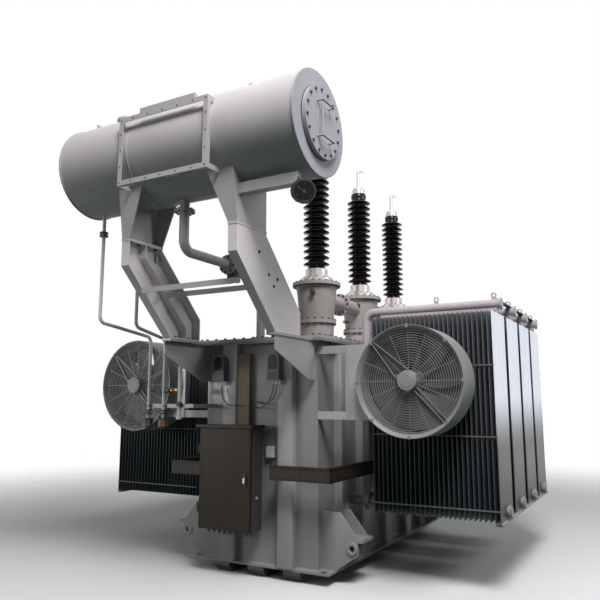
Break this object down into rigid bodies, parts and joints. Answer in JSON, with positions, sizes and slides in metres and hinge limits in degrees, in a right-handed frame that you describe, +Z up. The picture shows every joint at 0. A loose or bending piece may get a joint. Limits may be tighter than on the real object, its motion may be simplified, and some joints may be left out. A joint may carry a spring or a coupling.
{
  "type": "power transformer",
  "caption": "Oil-filled power transformer: tank on skids, conservator drum on goose-neck legs, bushings on turrets, panel radiator banks and axial fans.",
  "frame": {"origin": "on the ground under the middle of the tank, at the centre skid's underside", "axes": "+X to the right seen from the conservator end, +Y towards the far end, +Z up"},
  "size_m": [4.58, 5.1869, 4.524],
  "materials": {
    "tank_paint": "satin pale grey paint",
    "skid_paint": "matte dark grey paint",
    "fan_paint": "satin grey paint",
    "rotor_alloy": "cast blades, satin",
    "radiator_steel": "bright galvanised sheet",
    "header_paint": "satin pale grey paint",
    "porcelain": "dark brown glaze",
    "bright_metal": "bright",
    "stainless": "brushed stainless sheet",
    "black_fitting": "matte black",
    "gauge_case": "dark blue-grey enamel",
    "relay_casting": "brown-grey painted casting",
    "breather_glass": "amber filled glass"
  },
  "bodies": {
    "transformer": {"base_plate": "tank_paint", "breather_hanger": "tank_paint", "breather_pipes": "tank_paint", "breathers": "breather_glass", "bushing_feet": "bright_metal", "cabinet_hinges": "stainless", "cabinet_roof": "stainless", "cable_box": "tank_paint", "cable_riser": "stainless", "cable_trays": "stainless", "conservator_drum": "tank_paint", "conservator_ends": "tank_paint", "control_cabinet": "stainless", "drum_fittings": "tank_paint", "drum_frame": "tank_paint", "fan_brackets": "tank_paint", "fan_guard_left": "fan_paint", "fan_guard_right": "fan_paint", "fan_motors": "fan_paint", "fan_shroud_left": "fan_paint", "fan_shroud_right": "fan_paint", "gas_relay": "relay_casting", "gauge_arm": "tank_paint", "insulator_front": "porcelain", "insulator_middle": "porcelain", "insulator_rear": "porcelain", "jacking_pads": "tank_paint", "lead_left": "black_fitting", "lead_right_lower": "black_fitting", "lead_right_upper": "black_fitting", "leg_brackets": "tank_paint", "leg_cross_bars": "tank_paint", "leg_left": "tank_paint", "leg_right": "tank_paint", "level_gauge": "gauge_case", "manhole_cover": "tank_paint", "radiator_bank_left": "radiator_steel", "radiator_bank_right": "radiator_steel", "radiator_headers_left": "header_paint", "radiator_headers_right": "header_paint", "radiator_ties": "header_paint", "relay_pipes": "tank_paint", "saddles": "tank_paint", "skids": "skid_paint", "tank_body": "tank_paint", "tank_cover": "tank_paint", "terminals": "bright_metal", "thermometers": "gauge_case", "turret_front": "tank_paint", "turret_links": "tank_paint", "turret_middle": "tank_paint", "turret_rear": "tank_paint", "wall_stiffeners": "tank_paint"},
    "cabinet_door": {"cabinet_door": "stainless", "cabinet_latch": "black_fitting"},
    "fan_rotor_left": {"fan_rotor_left": "rotor_alloy"},
    "fan_rotor_right": {"fan_rotor_right": "rotor_alloy"}
  },
  "joints": [
    {"name": "cabinet_door_hinge", "type": "hinge", "parent": "transformer", "child": "cabinet_door", "pos_m": [-0.544, -1.853, 0.9275], "axis": [0, 0, -1], "range_deg": [0, 110]},
    {"name": "fan_left_spin", "type": "hinge", "parent": "transformer", "child": "fan_rotor_left", "pos_m": [-1.6, -1.469, 1.845], "axis": [0, 1, 0], "continuous": true},
    {"name": "fan_right_spin", "type": "hinge", "parent": "transformer", "child": "fan_rotor_right", "pos_m": [1.6, -1.469, 1.845], "axis": [0, 1, 0], "continuous": true}
  ]
}
